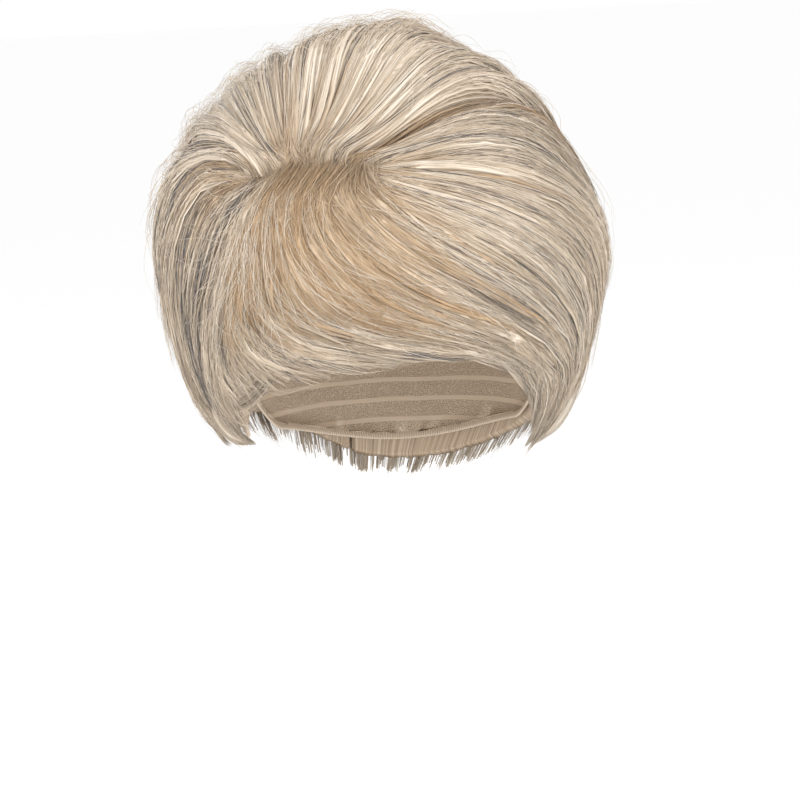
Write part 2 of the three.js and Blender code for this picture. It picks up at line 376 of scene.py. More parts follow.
def relief(around, along):
    """Height over the hair's form: the backs and valleys of the locks, the creases and the swathes."""
    lock, across = lock_at(around)
    valley = np.minimum(VALLEY_SHARE * LOCK_WIDTHS[lock], LOCK_VALLEY)
    height = (-1 + (LOCKS[lock, 3] + 1) * lock_back(across)) * valley
    return height + SWATHE_RELIEF * swathe(around, along) - crease_at(around, along) + swell_at(around, along)


def cut_of_lock(around):
    lock, across = lock_at(around)
    return TIP_NOTCH * (1 + (LOCKS[lock, 4] - 1) * lock_back(across))


def surface(around, along, depth=0.0):
    """A point of the hair at a depth below its outer form."""
    outward, inner, outer = bounds_of_hair(around, along)
    length = strand_length(around)
    to_tip = np.clip((1.0 - along) * length / TIP_TAPER, 0, 1)
    rise = ROOT_FULL + (1 - ROOT_FULL) * smooth(along * length, 0, ROOT_RISE)
    full = rise * np.sqrt(1 - (1 - to_tip) ** 2)
    inner = inner + SEAT
    thickness = ROOT_THICKNESS + (TIP_THICKNESS - ROOT_THICKNESS) * along
    room = np.maximum(outer - inner - thickness, 0)
    rooted = smooth(along * length, -0.005, 0.035)
    raised = relief(around, along) * full * rooted
    reach = inner + thickness + room * full + raised - depth * np.minimum(full + 0.25, 1)
    reach = np.maximum(reach, inner + LEAST_COVER)
    return CENTRE + outward * reach[..., None], outward


print(len(LOCKS), "locks in", len(SECTIONS), "sections")

# %% [markdown]
# ## Colour of the fibre
# The fibre is a blend of an ash blonde, a cream, a gold, a brown and a grey, mixed in the bundle before it is
# sewn. Every wisp and every strand carries its colour in a UV map. Across the map lie 24 cells, one for each
# tone. Up the map lie four bands, one for each length of golden root, and a band runs from root to tip. One
# material then colours the whole wig, and the map can be baked, because the same place in it has the same
# colour on every strand.

# %% The hair materials
TONES = [
    (0.00, (0.120, 0.112, 0.112)),  # dark grey
    (0.14, (0.235, 0.208, 0.192)),
    (0.28, (0.385, 0.305, 0.230)),  # brown
    (0.42, (0.510, 0.405, 0.298)),
    (0.58, (0.605, 0.497, 0.378)),  # ash blonde
    (0.76, (0.695, 0.592, 0.472)),
    (0.90, (0.768, 0.680, 0.568)),  # cream
    (1.00, (0.835, 0.765, 0.675)),
]
ROOT_GOLD = (0.480, 0.310, 0.160, 1.0)
TONE_CELLS = 24
GOLD_BANDS = 4
STREAKS_ALONG = 5  # of the fine streaks, from root to tip
HAIR_UV = "OFBake"


def new_material(name, roughness):
    material = bpy.data.materials.new(name)
    material.use_nodes = True
    shader = material.node_tree.nodes["Principled BSDF"]
    shader.inputs["Roughness"].default_value = roughness
    return material, material.node_tree, shader


def ramp(tree, value, stops):
    node = tree.nodes.new("ShaderNodeValToRGB")
    elements = node.color_ramp.elements
    while len(elements) < len(stops):
        elements.new(0.5)
    for element, (place, colour) in zip(elements, stops):
        element.position = place
        element.color = (*colour, 1.0)
    tree.links.new(value, node.inputs["Fac"])
    return node.outputs["Color"]


def calculate(tree, operation, first, second=None, third=None, clamp=False):
    node = tree.nodes.new("ShaderNodeMath")
    node.operation = operation
    node.use_clamp = clamp
    for socket, value in zip(node.inputs, (first, second, third)):
        if isinstance(value, (int, float)):
            socket.default_value = value
        elif value is not None:
            tree.links.new(value, socket)
    return node.outputs[0]


def uv_of(tree, name):
    node = tree.nodes.new("ShaderNodeUVMap")
    node.uv_map = name
    return node.outputs["UV"]


def stretched(tree, vector, scale):
    node = tree.nodes.new("ShaderNodeMapping")
    node.inputs["Scale"].default_value = scale
    tree.links.new(vector, node.inputs["Vector"])
    return node.outputs["Vector"]


def streak_noise(tree, vector, scale, detail):
    """A flat noise on a UV map that is drawn out along the hair."""
    noise = tree.nodes.new("ShaderNodeTexNoise")
    noise.noise_dimensions = "2D"
    noise.inputs["Scale"].default_value = 1.0
    noise.inputs["Detail"].default_value = detail
    tree.links.new(stretched(tree, vector, scale), noise.inputs["Vector"])
    return noise.outputs["Fac"]


def colour_by(tree, shader, value, stops):
    tree.links.new(ramp(tree, value, stops), shader.inputs["Base Color"])


def add_bump(tree, shader, height, distance, strength):
    bump = tree.nodes.new("ShaderNodeBump")
    bump.inputs["Distance"].default_value = distance
    bump.inputs["Strength"].default_value = strength
    tree.links.new(height, bump.inputs["Height"])
    tree.links.new(bump.outputs["Normal"], shader.inputs["Normal"])


def hair_material(name, streaks, swing, bump, roughness):
    """streaks is how many fine streaks lie across a cell, swing how far they stray from the cell's tone."""
    material, tree, shader = new_material(name, roughness)
    uv = uv_of(tree, HAIR_UV)
    split = tree.nodes.new("ShaderNodeSeparateXYZ")
    tree.links.new(uv, split.inputs[0])
    x, y = split.outputs["X"], split.outputs["Y"]
    cell = calculate(tree, "FLOOR", calculate(tree, "MULTIPLY", x, TONE_CELLS))
    tone = calculate(tree, "MULTIPLY_ADD", cell, 1 / TONE_CELLS, 0.5 / TONE_CELLS)
    bands = calculate(tree, "MULTIPLY", y, GOLD_BANDS)
    band = calculate(tree, "FLOOR", bands)
    along = calculate(tree, "SUBTRACT", bands, band)
    noise = streak_noise(tree, uv, (TONE_CELLS * streaks, GOLD_BANDS * STREAKS_ALONG, 1), 2)
    stray = calculate(tree, "SUBTRACT", noise, 0.5)
    mixed_tone = calculate(tree, "MULTIPLY_ADD", stray, swing, tone)
    colour = ramp(tree, mixed_tone, TONES)
    reach = calculate(tree, "MULTIPLY_ADD", band, 0.22, 0.02)
    inside = calculate(tree, "SUBTRACT", reach, along)
    gold = calculate(tree, "MULTIPLY_ADD", inside, 4.0, 0.55, clamp=True)
    share = calculate(tree, "MULTIPLY", gold, calculate(tree, "MULTIPLY_ADD", band, 0.13, 0.36))
    mix = tree.nodes.new("ShaderNodeMix")
    mix.data_type = "RGBA"
    tree.links.new(share, mix.inputs["Factor"])
    tree.links.new(colour, mix.inputs["A"])
    mix.inputs["B"].default_value = ROOT_GOLD
    tree.links.new(mix.outputs["Result"], shader.inputs["Base Color"])
    shader.inputs["Specular IOR Level"].default_value = 0.35
    if bump:
        add_bump(tree, shader, noise, bump, 0.7)
    return material


hair_wisps_finish = hair_material("hair_wisps_finish", streaks=13, swing=1.6, bump=0.0004, roughness=0.50)
hair_strands_finish = hair_material("hair_strands_finish", streaks=1, swing=0.4, bump=0.0, roughness=0.42)

# %% [markdown]
# ## Threads
# Blender has hair curves, but a library part has to be made of plain meshes. So every wisp and every strand
# is a thin closed thread: a small outline that is carried along a path, turned so that it lies flat on the
# hair's form. A wisp's outline is a low dome, a strand's is a triangle. Thousands of threads are one mesh,
# and their points are worked out all together as arrays, because that takes seconds where one object each
# would take hours.

# %% Meshes made of threads
# outline points: across, up, and how far across the tone cell
WISP_OUTLINE = np.array([
    (-1.0, 0.0, 0.04), (-0.62, 0.75, 0.25), (0.0, 1.0, 0.5), (0.62, 0.75, 0.75), (1.0, 0.0, 0.96),
])
STRAND_OUTLINE = np.array([(-0.87, -0.5, 0.04), (0.0, 1.0, 0.5), (0.87, -0.5, 0.96)])


def threads(outline, points, outward, wide, high, roll, tone, band, along):
    """Points and directions have a row per station of a thread; roll, tone and band, one number per thread."""
    count, stations = points.shape[:2]
    sides = len(outline)
    run = unit(np.gradient(points, axis=1))
    side = unit(np.cross(run, outward))
    up = np.cross(side, run)
    c, s = np.cos(roll)[:, None, None], np.sin(roll)[:, None, None]
    side, up = side * c + up * s, up * c - side * s
    co = (
        points[:, :, None]
        + side[:, :, None] * (wide[..., None] * outline[:, 0])[..., None]
        + up[:, :, None] * (high[..., None] * outline[:, 1])[..., None]
    )
    first = (np.arange(count) * stations * sides)[:, None, None]
    row = (np.arange(stations - 1) * sides)[None, :, None]
    k = np.arange(sides)[None, None, :]
    nxt = (k + 1) % sides
    here = first + row
    ahead = here + sides
    quads = np.stack([here + k, here + nxt, ahead + nxt, ahead + k], -1)
    ends = first[:, 0] + np.arange(sides)
    caps = np.concatenate([ends[:, ::-1], ends + (stations - 1) * sides])
    cell = np.floor(np.clip(tone, 0, 0.999) * TONE_CELLS)
    across = (cell[:, None, None] + outline[:, 2]) / TONE_CELLS
    up_map = (band[:, None] + np.clip(along, 0.01, 0.99))[..., None] / GOLD_BANDS
    uv = np.stack(np.broadcast_arrays(across, up_map), -1).reshape(-1, 2)
    return co.reshape(-1, 3), quads.reshape(-1, 4), caps, uv


def threads_mesh(name, groups, material):
    corners, sizes, points, maps = [], [], [], []
    base = 0
    for co, quads, caps, uv in groups:
        for faces in (quads, caps):
            corners.append((faces + base).ravel())
            sizes.append(np.full(len(faces), faces.shape[1]))
        points.append(co)
        maps.append(uv)
        base += len(co)
    corners, sizes = np.concatenate(corners).astype(np.int32), np.concatenate(sizes)
    mesh = bpy.data.meshes.new(name)
    mesh.vertices.add(base)
    mesh.vertices.foreach_set("co", np.concatenate(points).astype(np.float32).ravel())
    mesh.loops.add(len(corners))
    mesh.loops.foreach_set("vertex_index", corners)
    mesh.polygons.add(len(sizes))
    mesh.polygons.foreach_set("loop_start", np.concatenate([[0], np.cumsum(sizes)[:-1]]).astype(np.int32))
    mesh.polygons.foreach_set("use_smooth", np.ones(len(sizes), bool))
    layer = mesh.uv_layers.new(name=HAIR_UV)
    layer.data.foreach_set("uv", np.concatenate(maps)[corners].astype(np.float32).ravel())
    mesh.update()
    mesh.validate()
    mesh.materials.append(material)
    piece = bpy.data.objects.new(name, mesh)
    bpy.context.scene.collection.objects.link(piece)
    return piece


def triangles_of(piece):
    return sum(len(p.vertices) - 2 for p in piece.data.polygons)


def add_hair(piece):
    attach(piece, "root")
    print(piece.name, triangles_of(piece), "triangles")


# %% [markdown]
# ## Wisps
# A lock isn't one smooth ridge. Its strands gather in flat wisps, which overlap like leaves, share a tone and
# close up towards the tip. The wig is cut in layers, so only some wisps run from the parting to the hem.
# Others come out from under their neighbours halfway, and others end early and lie on top.

# %% Wisps of one section
WISPS = 2300
WISP_STEP = 0.015  # between the stations of a wisp
WISP_FLAT = 0.26  # height of a wisp for its half width
TIP_SHARE = 0.12  # of a wisp's width at its tip
# places round the head, and how far the tips turn there, in metres
TIP_CURLS = np.array([(0, -0.008), (3, -0.007), (5.4, 0), (7.6, 0), (10, 0.007), (13, 0.009), (14, 0), (19, 0)])
CURLS_DIFFER = 0.0035
WISP_HALF_WIDTHS = (0.0010, 0.0028)
FULL_UNTIL, RISEN_UNTIL = 0.38, 0.72  # shares: run from root to tip, come out halfway, and the rest end early
FIRST_IN_FRONT = 4  # from this section on, more roots start behind the parting
FRINGE_START = 12  # from this guide on, the roots stray more
WISPS_STRAY, FRINGE_WISPS_STRAY = 0.0016, 0.0045


def tones_of_wisps(rng, around, depth):
    """Painted light and shade: cream on a raised swathe, darker in a sunken one, in creases and deep down.
    Greyer on the right side.
    """
    count = len(around)
    crown = smooth(around, 2.5, 4.0) * (1 - smooth(around, 7.0, 8.5))
    # Painted light and shade: raised swathes are painted lighter and sunken ones darker, less so on the crown.
    height = swathe(around) * (1 - 0.8 * crown)
    front = smooth(around, 11.5, 14.0)
    tone = 0.67 + 0.10 * height - 0.10 * front - 0.04 * (around < 2)
    tone = tone + rng.normal(0, 0.045, count) * (1 - 0.5 * crown)
    streaked = smooth(around, 0.0, 0.3) * (1 - smooth(around, 1.1, 1.5))
    streaked = streaked + smooth(around, 2.1, 2.4) * (1 - smooth(around, 3.0, 3.3))
    greyer = 0.12 * ((around > 0.2) & (around < 5.0)) + 0.22 * streaked
    # Dark wisps: grey fibres of the blend on the right side, and more of them in sunken swathes as painted
    # shade.
    dark = rng.random(count) < 0.03 + 0.14 * np.maximum(-height, 0) + greyer
    tone = np.where(dark, rng.uniform(0.02, 0.30, count), tone)
    # Painted shade: wisps that lie deep, and wisps along the creases, are painted darker.
    deep = (depth > 0.0024) & (rng.random(count) < 0.4)
    tone = np.where(deep, rng.uniform(0.24, 0.48, count), tone)
    tone = tone - 42 * crease_beside(around)
    return np.clip(tone, 0.02, 0.98)


def bands_of_wisps(rng, around):
    """How far the golden root reaches: far in front, little on the crown, and further in sunken swathes and
    creases as painted shade.
    """
    front = smooth(around, 11.0, 13.5) * (1 - smooth(around, 18.0, 19.0))
    # The root's gold is the fibre's own; its longer reach in sunken swathes and creases is painted shade.
    reach = 0.45 + 2.2 * front - 0.4 * swathe(around) + 230 * crease_beside(around)
    reach = reach + rng.normal(0, 0.38, len(around))
    return np.clip(np.round(reach), 0, GOLD_BANDS - 1)


def lay_wisps(rng, section, count):
    mine = np.flatnonzero(LOCKS[:, 0] == section)
    lock = rng.choice(mine, count, p=LOCK_WIDTHS[mine] / LOCK_WIDTHS[mine].sum())
    w = SimpleNamespace()
    w.low, w.high = LOCKS[lock, 1], LOCKS[lock, 2]
    w.per_metre = (w.high - w.low) / LOCK_WIDTHS[lock]
    across = rng.uniform(0, 1, count)
    w.place = w.low + (w.high - w.low) * across
    w.centre = 0.5 * (w.low + w.high)
    w.depth = 0.0006 + np.abs(rng.normal(0, 0.0010, count))
    free = 1 - np.minimum(110 * crease_beside(w.place), 0.9)
    w.drift = rng.normal(0, 0.0055, count) * w.per_metre * free
    w.sweep = 1.3 * smooth(w.place, 10.5, 13.5) * (1 - smooth(w.place, 16.5, 19.0))
    w.sway = rng.normal(0, 0.0012, count) * w.per_metre * free
    w.phase = rng.uniform(0, 2 * math.pi, count)
    w.length = strand_length(w.place)
    w.tone = tones_of_wisps(rng, w.place, w.depth)
    w.band = bands_of_wisps(rng, w.place)
    layer = rng.random(count)
    w.risen = (layer > FULL_UNTIL) & (layer < RISEN_UNTIL)
    w.early = layer > RISEN_UNTIL
    behind = 0.010 if section >= FIRST_IN_FRONT else 0.004
    at_root = (rng.beta(1.3, 2.5, count) * (0.014 + behind) - behind) / w.length
    w.start = np.where(w.risen, rng.uniform(0.15, 0.60, count), at_root)
    nape = SECTIONS[section][0] == "nape_hair"
    even = smooth(w.place, 3.4, 5.0) * (1 - smooth(w.place, 8.0, 9.6))
    uneven, notch = 0.022 - 0.015 * even, 1 - 0.6 * even
    w.gather = 0.04 if nape else 0.22
    w.curl = (np.interp(w.place, *TIP_CURLS.T) + rng.normal(0, CURLS_DIFFER, count)) * w.per_metre
    cut = (notch * cut_of_lock(w.place) + rng.beta(1.2, 4, count) * uneven) / w.length
    w.end = np.where(w.early, rng.uniform(0.50, 0.88, count), 1 - cut)
    w.sink = np.where(w.risen, 0.0035, 0.0)
    w.depth = np.where(w.early, w.depth * 0.4, w.depth)
    w.flick = np.where(w.early, rng.beta(1, 3, count) * 0.004, 0.0)
    w.wide = rng.uniform(*WISP_HALF_WIDTHS, count) * np.where(w.tone < 0.3, 0.55, 1.0)
    w.roll = rng.normal(0, 0.12, count)
    return w


def stations_of(rng, count, length, step):
    """Places along each thread, from 0 to 1, a little different on each, so that no corners line up."""
    stations = int(np.clip(round(length / step), 7, 24))
    place = np.arange(stations)[None] + rng.uniform(-0.42, 0.42, (count, 1))
    place[:, 0], place[:, -1] = 0, stations - 1
    return place / (stations - 1)


def by_length(runs):
    """Which threads are in each group of lengths. A group shares its number of stations."""
    for shortest, longest in ((0, 0.08), (0.08, 0.14), (0.14, 0.2), (0.2, 1)):
        chosen = np.flatnonzero((runs >= shortest) & (runs < longest))
        if len(chosen):
            yield chosen


def path_of(w, own, t, offset, lift):
    """Points along the wisps w[own], at an offset across the wisp in metres and a lift above it."""
    around = (
        w.place[own, None]
        + (offset * w.per_metre[own])[:, None] * (1 - 0.6 * smooth(t, 0.4, 1.0))
        + w.drift[own, None] * (t - 0.3)
        + w.sway[own, None] * np.sin(5.5 * t + w.phase[own, None])
    )
    around = around + (w.centre[own, None] - around) * w.gather * smooth(t, 0.55, 1.0)
    along = w.start[own, None] + (w.end - w.start)[own, None] * t
    around = around + w.curl[own, None] * smooth(along, 0.72, 1.0) ** 2
    around = around - w.sweep[own, None] * smooth(along, 0.40, 1.0) ** 1.5
    depth = w.depth[own, None] + w.sink[own, None] * (1 - smooth(t, 0, 0.3)) - lift
    depth = depth - w.flick[own, None] * smooth(t, 0.6, 1.0)
    points, outward = surface(around, along, depth)
    return points, outward, along


def push_sideways(points, outward, amount):
    side = unit(np.cross(np.gradient(points, axis=1), outward))
    return points + side * amount[..., None]


def wisp_threads(rng, w):
    groups = []
    runs = (w.end - w.start) * w.length
    for own in by_length(runs):
        t = stations_of(rng, len(own), runs[own].mean(), WISP_STEP)
        points, outward, along = path_of(w, own, t, np.zeros(len(own)), 0.0)
        stray = np.where(w.place[own] > FRINGE_START, FRINGE_WISPS_STRAY, WISPS_STRAY)[:, None]
        jitter = rng.normal(0, 1, (len(own), 1)) * stray * np.exp(-np.maximum(along, 0) / 0.12)
        points = push_sideways(points, outward, jitter)
        wide = w.wide[own, None] * (0.35 + 0.65 * smooth(t, 0, 0.25))
        wide = wide * (1 - (1 - TIP_SHARE) * smooth(t, 0.55, 1.0))
        groups.append(threads(
            WISP_OUTLINE, points, outward, wide, wide * WISP_FLAT, w.roll[own], w.tone[own], w.band[own], along,
        ))
    return groups


# %% [markdown]
# ## Strands
# Over the wisps lie single strands. They follow the wisp that they belong to, but each has its own tone,
# starts and ends at its own place and strays a little. They draw the fine lines of light and shade, feather
# the ends of the wisps and soften the parting, where the roots of both sides cross.

# %% Strands of one section
STRANDS = 5640
STRAND_WIDTH = 0.00036
STRAND_STEP = 0.013
STRANDS_STRAY, FRINGE_STRANDS_STRAY = 0.0034, 0.0075


def strand_threads(rng, w, count):
    chance = np.where(w.risen, 0.7, 1.0) * np.exp(-w.depth / 0.002)
    own_all = rng.choice(len(w.place), count, p=chance / chance.sum())
    groups = []
    runs = ((w.end - w.start) * w.length)[own_all]
    for chosen in by_length(runs):
        own = own_all[chosen]
        n = len(own)
        t = stations_of(rng, n, runs[chosen].mean(), STRAND_STEP)
        stretch = 1 + rng.beta(1.2, 3, (n, 1)) * 0.009 / w.length[own, None]
        offset = rng.normal(0, 0.5, n) * w.wide[own]
        lift = 0.0007 + 0.0005 * rng.random((n, 1)) + 0.0003 * np.sin(6 * t + rng.uniform(0, 6.3, (n, 1)))
        points, outward, along = path_of(w, own, t * stretch, offset, lift)
        stray = np.where(w.place[own] > FRINGE_START, FRINGE_STRANDS_STRAY, STRANDS_STRAY)[:, None]
        jitter = rng.normal(0, 1, (n, 1)) * stray * np.exp(-np.maximum(along, 0) / 0.10)
        wave = rng.normal(0, 0.0005, (n, 1)) * np.sin(8 * t + rng.uniform(0, 6.3, (n, 1)))
        stray_off = rng.normal(0, 0.0019, (n, 1)) * (t - 0.35) * (1 - smooth(t, 0.8, 1.0))
        points = push_sideways(points, outward, jitter + wave + stray_off)
        wide = STRAND_WIDTH / 2 * rng.uniform(0.7, 1.3, (n, 1)) * (0.6 + 0.4 * smooth(t, 0.0, 0.15))
        wide = wide * (1 - 0.85 * smooth(t, 0.75, 1.0))
        tone = np.clip(w.tone[own] + rng.normal(0.01, 0.13, n), 0.02, 0.98)
        dark = rng.random(n) < 0.13
        tone = np.where(dark, rng.uniform(0.0, 0.2, n), tone)
        groups.append(threads(
            STRAND_OUTLINE, points, outward, wide, wide, rng.uniform(0, 2, n), tone, w.band[own], along,
        ))
    return groups


# %% Wisps and strands of every section
SECTION_WIDTHS = np.array([LOCK_WIDTHS[LOCKS[:, 0] == k].sum() for k in range(len(SECTIONS))])
EMPHASIS = np.array([1.1, 0.95, 0.9, 1.1, 1.15, 1.3, 1.3])
SHARES = SECTION_WIDTHS * EMPHASIS / (SECTION_WIDTHS * EMPHASIS).sum()
for index, (name, *_rest) in enumerate(SECTIONS):
    rng = np.random.default_rng(20 + index)
    wisps = lay_wisps(rng, index, int(WISPS * SHARES[index]))
    add_hair(threads_mesh(name.replace("_hair", "_wisps"), wisp_threads(rng, wisps), hair_wisps_finish))
    strands = strand_threads(rng, wisps, int(STRANDS * SHARES[index]))
    add_hair(threads_mesh(name.replace("_hair", "_strands"), strands, hair_strands_finish))

# %% [markdown]
# ## The dense hair under the strands
# Under the outer strands the hair is packed so closely that no single fibre shows. That mass is one closed
# body per section. It starts as a flat grid and its copy, bridged round their edges, as a pillow is sewn. The
# upper grid is then laid a few millimetres under the outer strands and the lower one on the cap, so the body
# keeps the form of the solid that it stands for. The grid's own UV map runs with the grain, which the fine
# streaks of its finish follow.


# %% The grain and painted shade of the dense hair
FINE_STREAKS, BROAD_STREAKS = (380, 5, 1), (70, 2, 1)  # across and along a section


def dense_hair_material():
    material, tree, shader = new_material("dense_hair_grain_and_shade", 0.5)
    uv = uv_of(tree, "grain")
    fine = streak_noise(tree, uv, FINE_STREAKS, 3)
    broad = streak_noise(tree, uv, BROAD_STREAKS, 3)
    both = calculate(tree, "MULTIPLY_ADD", broad, 0.7, calculate(tree, "MULTIPLY", fine, 0.6))
    # Painted shade: these browns are darker than the fibre's own tones and stand for the shade deep under the
    # strands; the streaks are the hair's grain.
    colour_by(tree, shader, both, [
        (0.45, (0.190, 0.142, 0.100)),
        (0.58, (0.330, 0.240, 0.160)),
        (0.68, (0.450, 0.340, 0.235)),
        (0.80, (0.570, 0.460, 0.350)),
    ])
    add_bump(tree, shader, fine, 0.0006, 0.6)
    return material


dense_hair_grain_and_shade = dense_hair_material()
BODY_COLUMNS, BODY_ROWS = 8, 40  # columns on each lock, and rows from root to tip
BODY_DEPTH = 0.0034
BODY_ROOT, BODY_EDGE = 0.004, 0.010  # left free at the parting, and of the section's width on either side
MASS_SHORTER, NAPE_LONGER = 0.012, 0.006  # the bodies end this far above the hem, less at the nape


def pillow_grid(name, columns, rows):
    bpy.ops.object.select_all(action="DESELECT")
    bpy.ops.mesh.primitive_grid_add(x_subdivisions=columns, y_subdivisions=rows, size=1, calc_uvs=True)
    piece = bpy.context.object
    piece.name = name
    piece.data.uv_layers[0].name = "grain"
    bpy.ops.object.mode_set(mode="EDIT")
    bpy.ops.mesh.select_all(action="SELECT")
    bpy.ops.mesh.duplicate()
    bpy.ops.transform.translate(value=(0, 0, -1))
    bpy.ops.mesh.flip_normals()
    bpy.ops.mesh.select_all(action="DESELECT")
    bpy.ops.mesh.select_mode(type="EDGE")
    bpy.ops.mesh.select_non_manifold()
    bpy.ops.mesh.bridge_edge_loops()
    bpy.ops.object.mode_set(mode="OBJECT")
    return piece


def read_points(piece):
    co = np.empty(len(piece.data.vertices) * 3, np.float32)
    piece.data.vertices.foreach_get("co", co)
    return co.reshape(-1, 3).astype(float)


def write_points(piece, co):
    piece.data.vertices.foreach_set("co", co.astype(np.float32).ravel())
    piece.data.update()


def select_only(piece):
    bpy.ops.object.select_all(action="DESELECT")
    piece.select_set(True)
    bpy.context.view_layer.objects.active = piece


def face_outwards(piece):
    select_only(piece)
    bpy.ops.object.mode_set(mode="EDIT")
    bpy.ops.mesh.select_all(action="SELECT")
    bpy.ops.mesh.normals_make_consistent(inside=False)
    bpy.ops.object.mode_set(mode="OBJECT")
    bpy.ops.object.shade_smooth()


def section_body(section):
    name, first, last, count = SECTIONS[section]
    piece = pillow_grid(name.replace("_hair", "_mass"), count * BODY_COLUMNS, BODY_ROWS)
    flat = read_points(piece)
    place = flat[:, 0] + 0.5
    step = flat[:, 1] + 0.5
    around = first + (last - first) * (BODY_EDGE + (1 - 2 * BODY_EDGE) * place)
    length = strand_length(around)
    nape = smooth(around, 3.0, 5.5) * (1 - smooth(around, 7.5, 10.0))
    end = 1 - (MASS_SHORTER - NAPE_LONGER * nape) / length
    start = BODY_ROOT / length
    along = start + (end - start) * step
    over, outward = surface(around, along, BODY_DEPTH)
    _, inner, _ = bounds_of_hair(around, along)
    under = CENTRE + outward * (inner + SEAT - 0.001)[:, None]
    top = flat[:, 2] > -0.5
    write_points(piece, np.where(top[:, None], over, under))
    face_outwards(piece)
    piece.data.materials.append(dense_hair_grain_and_shade)
    return piece


for index, (name, *_rest) in enumerate(SECTIONS):
    body = section_body(index)
    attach(body, "root")
    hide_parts(name)
    print(body.name, len(body.data.polygons), "faces")

# %% [markdown]
# ## Locks that leave the flow
# Low on both sides a few locks turn on their own: two hooks at the right temple with a thin lock behind them,
# and a sideburn and its neighbour on the left. A short tuft stands on top. Each is a spray of wisps and
# strands on one curve through four directions, which lies on the hair's form and draws in towards its tip.

# %% Sprays of hair on single curves
# name, four stops as azimuth and elevation, half width, how far it stands out at its start and tip, tone, wisps
SPRAYS = [
    ("temple_hook", ((-32, 2), (-40, -7), (-53, -13), (-63, -17)), 0.010, -0.0045, -0.0008, 0.55, 44),
    ("right_sideburn", ((-66, -10), (-66, -19), (-63, -24), (-53, -26)), 0.009, -0.0020, -0.0060, 0.60, 34),
    ("behind_ear_lock", ((-88, -6), (-86, -17), (-83, -24), (-72, -27)), 0.005, -0.0020, -0.0040, 0.70, 14),
    ("left_sideburn", ((60, -3), (63, -15), (63, -24), (57, -31)), 0.011, -0.0020, -0.0050, 0.80, 44),
    ("left_ear_lock", ((72, -6), (77, -18), (72, -25), (60, -30)), 0.009, -0.0020, -0.0030, 0.74, 34),
    ("top_tuft", ((20, 86), (60, 83), (84, 78), (93, 71)), 0.009, -0.0075, -0.0040, 0.66, 22),
]
STRANDS_ON_WISP = 3
SPRAY_STATIONS = 14
SPRAY_WISP_HALF_WIDTH = 0.0011


def spray_paths(rng, stops, half, root_out, tip_out, count, wander):
    stops = np.stack([aim(*stop) for stop in stops])
    t = np.linspace(rng.uniform(0, 0.28, count), rng.uniform(0.82, 1.02, count), SPRAY_STATIONS, axis=1)
    outward, inner, outer = bounds_of_form(through_stops(stops[None, None], t))
    depth = np.abs(rng.normal(0, 0.0012, (count, 1))) + wander * rng.random((count, 1))
    out = root_out + (tip_out - root_out) * smooth(t, 0.2, 1.0)
    reach = np.maximum(outer + out - depth - 0.003 * (1 - smooth(t, 0, 0.3)), inner + SEAT)
    points = CENTRE + outward * reach[..., None]
    across = np.clip(rng.normal(0, 0.5, (count, 1)), -1, 1) * half
    across = across * (0.55 + 0.45 * smooth(t, 0, 0.3)) * (1 - 0.88 * smooth(t, 0.45, 1.0))
    return push_sideways(points, outward, across), outward, t


def spray_groups(rng, stops, half, root_out, tip_out, shade, count):
    groups = []
    for outline, number, base, flat in (
        (WISP_OUTLINE, count, SPRAY_WISP_HALF_WIDTH, WISP_FLAT),
        (STRAND_OUTLINE, count * STRANDS_ON_WISP, STRAND_WIDTH / 2, 1.0),
    ):
        wander = 0.0 if flat == 1.0 else 0.0012
        points, outward, t = spray_paths(rng, stops, half, root_out, tip_out, number, wander)
        wide = base * rng.uniform(0.7, 1.3, (number, 1)) * (0.2 + 0.8 * smooth(t, 0, 0.4))
        wide = wide * (1 - 0.85 * smooth(t, 0.6, 1.0))
        tone = np.clip(rng.normal(shade, 0.13, number), 0.05, 0.98)
        band = rng.choice(2, number, p=[0.6, 0.4])
        groups.append(threads(
            outline, points, outward, wide, wide * flat, rng.normal(0, 0.2, number), tone, band,
            0.3 + 0.6 * t,
        ))
    return groups


rng = np.random.default_rng(60)
for name, stops, half, root_out, tip_out, shade, count in SPRAYS:
    groups = spray_groups(rng, stops, half, root_out, tip_out, shade, count)
    add_hair(threads_mesh(name, groups, hair_wisps_finish))

# %% [markdown]
# ## Loose hairs
# No styled wig is perfectly smooth. Fine light hairs cross the front near the parting, and a fuzz of curled
# ends stands off the crown and the sides. They are the thinnest threads here, and most of them are pale.

# %% Loose hairs
LOOSE_WIDTH = 0.00020
LOOSE_LENGTH, LOOSE_STEP = 0.055, 0.005  # these set how many stations a loose hair has


def loose_hairs(rng, count, places, starts, runs, aside, bend, lift, tip_lift, tones):
    place = rng.uniform(*places, count) % len(GUIDES)
    lock, _ = lock_at(place)
    per_metre = (LOCKS[lock, 2] - LOCKS[lock, 1]) / LOCK_WIDTHS[lock]
    run = rng.uniform(*runs, (count, 1))
    t = stations_of(rng, count, LOOSE_LENGTH, LOOSE_STEP)
    turn = rng.normal(0, aside, (count, 1)) * t + rng.normal(0, bend, (count, 1)) * t * t
    around = place[:, None] + turn * per_metre[:, None]
    along = rng.uniform(*starts, (count, 1))
    along = along + run / strand_length(place)[:, None] * (t + 0.08 * np.sin(5 * t + turn * 90))
    height = 0.0004 + rng.beta(1.3, 2.5, (count, 1)) * lift * np.sin(math.pi * t)
    height = height + rng.beta(1.2, 2.5, (count, 1)) * tip_lift * t ** 1.7
    points, outward = surface(around, np.minimum(along, 0.985), -height)
    wide = LOOSE_WIDTH / 2 * rng.uniform(0.7, 1.2, (count, 1)) * (1 - 0.6 * smooth(t, 0.6, 1.0))
    tone = rng.uniform(*tones, count)
    band = rng.choice(2, count)
    return threads(
        STRAND_OUTLINE, points, outward, wide, wide, rng.uniform(0, 2, count), tone, band,
        np.full(t.shape, 0.5) + 0.4 * t,
    )


